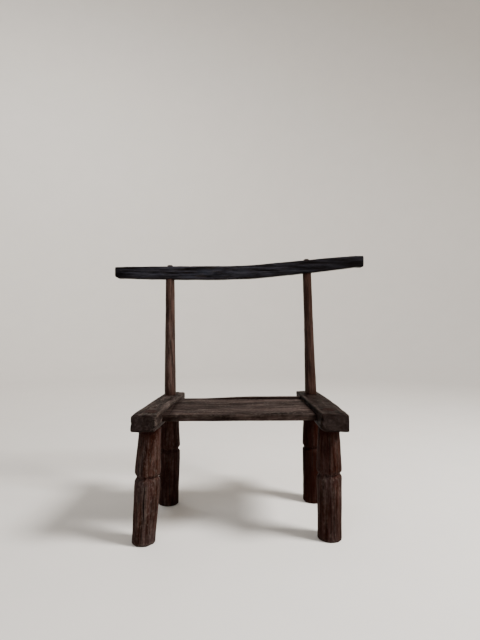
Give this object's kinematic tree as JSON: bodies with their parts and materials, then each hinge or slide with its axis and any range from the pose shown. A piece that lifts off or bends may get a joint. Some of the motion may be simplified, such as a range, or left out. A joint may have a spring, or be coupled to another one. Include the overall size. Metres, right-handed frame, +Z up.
{
  "type": "low chair",
  "caption": "Low hand-hewn wooden chair with a seat plank housed between thick side rails, ring-grooved legs, leaning back posts and a wide bent crest rail.",
  "frame": {"origin": "on the floor, under the middle of the chair's bounding box", "axes": "+X to the chair's right as seen from in front, along the crest rail; +Y towards the back of the chair; +Z up"},
  "size_m": [0.7016, 0.357, 0.6856],
  "materials": {
    "rail_wood": "hand-hewn hardwood, grey-brown and worn on its top, darker on its ends",
    "seat_wood": "seat plank, rubbed smooth and grey-brown by use, with fine scratches along the grain",
    "leg_wood": "reddish dark brown hewn hardwood with long drying checks, paler at the feet",
    "post_wood": "dark brown whittled hardwood, handled smooth",
    "crest_wood": "near-black smoke- and hand-darkened hardwood with a dull sheen"
  },
  "bodies": {
    "root": {"left_side_rail": "rail_wood", "right_side_rail": "rail_wood", "seat_plank": "seat_wood", "front_left_leg": "leg_wood", "front_right_leg": "leg_wood", "rear_left_leg": "leg_wood", "rear_right_leg": "leg_wood", "left_back_post": "post_wood", "right_back_post": "post_wood", "crest_rail": "crest_wood"}
  },
  "joints": []
}
